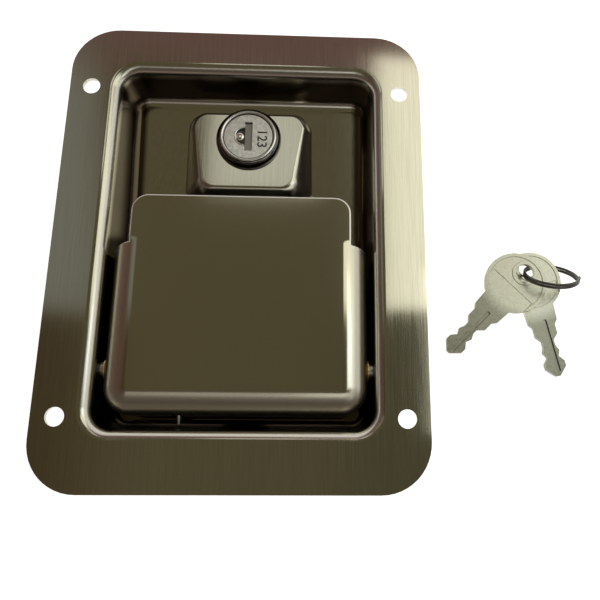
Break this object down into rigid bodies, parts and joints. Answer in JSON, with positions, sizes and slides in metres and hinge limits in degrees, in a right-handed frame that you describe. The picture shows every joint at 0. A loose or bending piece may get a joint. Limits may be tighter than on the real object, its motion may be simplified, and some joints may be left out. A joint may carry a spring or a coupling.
{
  "type": "slam paddle latch",
  "caption": "Flush slam paddle latch: pressed steel pan with a lifting paddle, a spring bolt behind it, a keyed cam lock, and loose keys on a split ring.",
  "frame": {"origin": "centre of the four mounting holes, on the rear face of the flange", "axes": "+Z out of the door through the flange, +Y from the bolt end to the lock end, +X to the right seen from the front"},
  "size_m": [0.1646, 0.14, 0.0322],
  "materials": {
    "pan_steel": "brushed stainless, fine lines along the flange",
    "paddle_steel": "satin stainless",
    "zinc_steel": "zinc-plated steel, satin",
    "spring_steel": "drawn spring wire",
    "bush_brass": "turned brass",
    "lock_chrome": "polished chrome",
    "plug_zinc": "satin nickel on die-cast zinc",
    "key_nickel": "nickel-plated brass, lightly worn",
    "ring_steel": "dark oiled spring steel"
  },
  "bodies": {
    "latch_frame": {"pan": "pan_steel", "pivot_pin": "zinc_steel", "pin_clip": "spring_steel", "bolt_housing": "zinc_steel", "housing_rivets": "zinc_steel", "spring_guide": "zinc_steel", "bolt_stop_pin": "zinc_steel", "lock_housing": "lock_chrome", "lock_clip": "spring_steel"},
    "handle": {"paddle": "paddle_steel", "pivot_bushes": "bush_brass", "trip_lever": "zinc_steel", "paddle_spring": "spring_steel"},
    "bolt": {"latch_bolt": "zinc_steel", "bolt_spring": "spring_steel"},
    "plug": {"lock_plug": "plug_zinc", "lock_wafers": "bush_brass", "lock_cam": "zinc_steel", "cam_washer": "spring_steel", "cam_screw": "zinc_steel"},
    "key_set": {"key_ring": "ring_steel"},
    "left_key": {"key_left": "key_nickel"},
    "right_key": {"key_right": "key_nickel"}
  },
  "joints": [
    {"name": "paddle_lift", "type": "hinge", "parent": "latch_frame", "child": "handle", "pos_m": [0, -0.0362, -0.0068], "axis": [1, 0, 0], "range_deg": [0, 32], "stiffness_Nm_per_rad": 0.12, "springref_deg": -20.05, "deforming": ["paddle_spring"]},
    {"name": "bolt_slide", "type": "slide", "parent": "latch_frame", "child": "bolt", "axis": [0, 1, 0], "range_m": [0, 0.0091], "deforming": ["bolt_spring"]},
    {"name": "lock_turn", "type": "hinge", "parent": "latch_frame", "child": "plug", "pos_m": [0, 0.0393, 0], "axis": [0, 0, -1], "range_deg": [0, 70]},
    {"name": "keys_lift", "type": "slide", "parent": "latch_frame", "child": "key_set", "axis": [0, 0, 1], "range_m": [0, 0.05]},
    {"name": "key_left_swing", "type": "hinge", "parent": "key_set", "child": "left_key", "pos_m": [0.09284, -0.00023, -0.02479], "axis": [-0.0678, -0.0678, 0.9954], "range_deg": [-12, 12]},
    {"name": "key_right_swing", "type": "hinge", "parent": "key_set", "child": "right_key", "pos_m": [0.0948, 0.00229, -0.02762], "axis": [0.0098, -0.0425, 0.999], "range_deg": [-12, 12]}
  ],
  "couplings": [
    {"joint": "bolt_slide", "follows": "paddle_lift", "m_per_rad": 0.01613}
  ]
}
